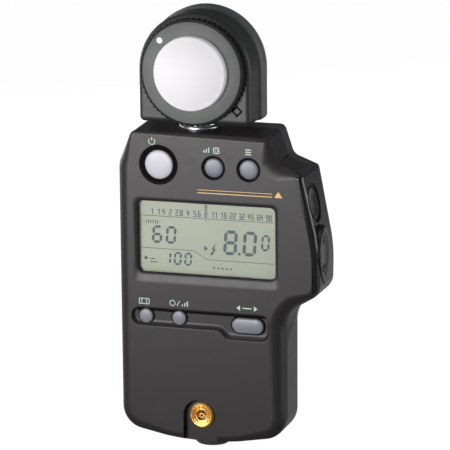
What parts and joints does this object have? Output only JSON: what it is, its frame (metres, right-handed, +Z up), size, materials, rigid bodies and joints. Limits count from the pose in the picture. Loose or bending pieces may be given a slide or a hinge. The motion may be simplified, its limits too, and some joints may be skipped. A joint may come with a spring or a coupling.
{
  "type": "handheld light meter",
  "caption": "Handheld photographic exposure meter with a display, keys, a side grip, a sync socket and a turning head that carries a domed light receptor.",
  "frame": {"origin": "centre of the mouth of the tripod socket in the meter's underside", "axes": "+X to the user's right as the display is read, +Y from the display towards the back, +Z up along the tripod socket towards the head"},
  "size_m": [0.0768, 0.029, 0.1627],
  "materials": {
    "body_plastic": "fine satin grain",
    "rear_plastic": "fine satin grain",
    "grip_plastic": "semi-gloss",
    "display_window": "clear",
    "display_glass": "reflective grey-green",
    "frame_plastic": "moulded",
    "connector_rubber": "matt",
    "circuit_board": "solder mask",
    "chip_resin": "matt",
    "switch_metal": "stamped",
    "power_cap": "satin",
    "upper_caps": "satin",
    "lower_caps": "satin",
    "plated_steel": "plated",
    "cell_sleeve": "shrink sleeve",
    "contact_metal": "nickel flash",
    "gold_plate": "gold plated, turned",
    "insulator": "moulded",
    "tripod_brass": "turned",
    "black_screws": "black oxide",
    "label_foil": "satin foil",
    "neck_chrome": "polished",
    "lead_sleeve": "soft sleeve",
    "head_plastic": "fine satin grain",
    "head_rear_plastic": "fine satin grain",
    "mark_paint": "matt",
    "silicon": "dark cell",
    "filter_glass": "blue-green filter",
    "baffle_white": "matt white",
    "ring_plastic": "fine grain",
    "dot_paint": "matt white",
    "dome_opal": "opal, satin"
  },
  "bodies": {
    "body": {"front_cover": "body_plastic", "rear_cover": "rear_plastic", "grip_module": "grip_plastic", "lcd_window": "display_window", "lcd_glass": "display_glass", "lcd_frame": "frame_plastic", "lcd_connector": "connector_rubber", "main_board": "circuit_board", "board_chips": "chip_resin", "key_switches": "switch_metal", "rocker_pin": "plated_steel", "side_switch_board": "circuit_board", "side_switches": "switch_metal", "battery_cell": "cell_sleeve", "battery_spring": "plated_steel", "battery_contact": "contact_metal", "sync_shell": "gold_plate", "sync_insulator": "insulator", "sync_contact": "gold_plate", "sync_nut": "plated_steel", "tripod_insert": "tripod_brass", "cover_screws": "black_screws", "label_plate": "label_foil", "neck_bush": "neck_chrome", "wave_washer": "plated_steel"},
    "head": {"neck_collar": "neck_chrome", "neck_spindle": "plated_steel", "spindle_nut": "plated_steel", "sensor_leads": "lead_sleeve", "head_front": "head_plastic", "head_rear": "head_rear_plastic", "head_screws": "black_screws", "index_mark": "mark_paint", "sensor_board": "circuit_board", "photocell": "silicon", "filter_glass": "filter_glass", "light_baffle": "baffle_white"},
    "dome_ring": {"diffuser_ring": "ring_plastic", "ring_dot": "dot_paint", "diffuser_dome": "dome_opal"},
    "power_key": {"power_button": "power_cap"},
    "average_key": {"average_button": "upper_caps"},
    "memory_key": {"memory_button": "upper_caps"},
    "iso_key": {"iso_button": "lower_caps"},
    "aperture_key": {"aperture_button": "lower_caps"},
    "mode_key": {"mode_button": "lower_caps"},
    "measure_key": {"measure_button": "grip_plastic"},
    "rocker": {"rocker_key": "grip_plastic"},
    "door": {"battery_door": "rear_plastic"}
  },
  "joints": [
    {"name": "head_turn", "type": "hinge", "parent": "body", "child": "head", "pos_m": [-0.0032, -0.001, 0.1214], "axis": [0, 0, 1], "range_deg": [-90, 180]},
    {"name": "dome_twist", "type": "hinge", "parent": "head", "child": "dome_ring", "pos_m": [-0.0032, -0.008, 0.1405], "axis": [0, -1, 0], "range_deg": [0, 25]},
    {"name": "power_press", "type": "slide", "parent": "body", "child": "power_key", "axis": [0, 1, 0], "range_m": [0, 0.0006], "stiffness_N_per_m": 1200, "springref_m": -0.0005},
    {"name": "average_press", "type": "slide", "parent": "body", "child": "average_key", "axis": [0, 1, 0], "range_m": [0, 0.0006], "stiffness_N_per_m": 1200, "springref_m": -0.0005},
    {"name": "memory_press", "type": "slide", "parent": "body", "child": "memory_key", "axis": [0, 1, 0], "range_m": [0, 0.0006], "stiffness_N_per_m": 1200, "springref_m": -0.0005},
    {"name": "iso_press", "type": "slide", "parent": "body", "child": "iso_key", "axis": [0, 1, 0], "range_m": [0, 0.0006], "stiffness_N_per_m": 1200, "springref_m": -0.0005},
    {"name": "aperture_press", "type": "slide", "parent": "body", "child": "aperture_key", "axis": [0, 1, 0], "range_m": [0, 0.0006], "stiffness_N_per_m": 1200, "springref_m": -0.0005},
    {"name": "mode_press", "type": "slide", "parent": "body", "child": "mode_key", "axis": [0, 1, 0], "range_m": [0, 0.0006], "stiffness_N_per_m": 1200, "springref_m": -0.0005},
    {"name": "measure_press", "type": "slide", "parent": "body", "child": "measure_key", "axis": [-0.9784, 0, -0.2069], "range_m": [0, 0.0008], "stiffness_N_per_m": 1200, "springref_m": -0.0005},
    {"name": "rocker_tilt", "type": "hinge", "parent": "body", "child": "rocker", "pos_m": [0.043, -0.0064, 0.0759], "axis": [0, 1, 0], "range_deg": [-4, 4], "stiffness_Nm_per_rad": 0.15},
    {"name": "door_slide", "type": "slide", "parent": "body", "child": "door", "axis": [0, 0, -1], "range_m": [0, 0.01]}
  ]
}
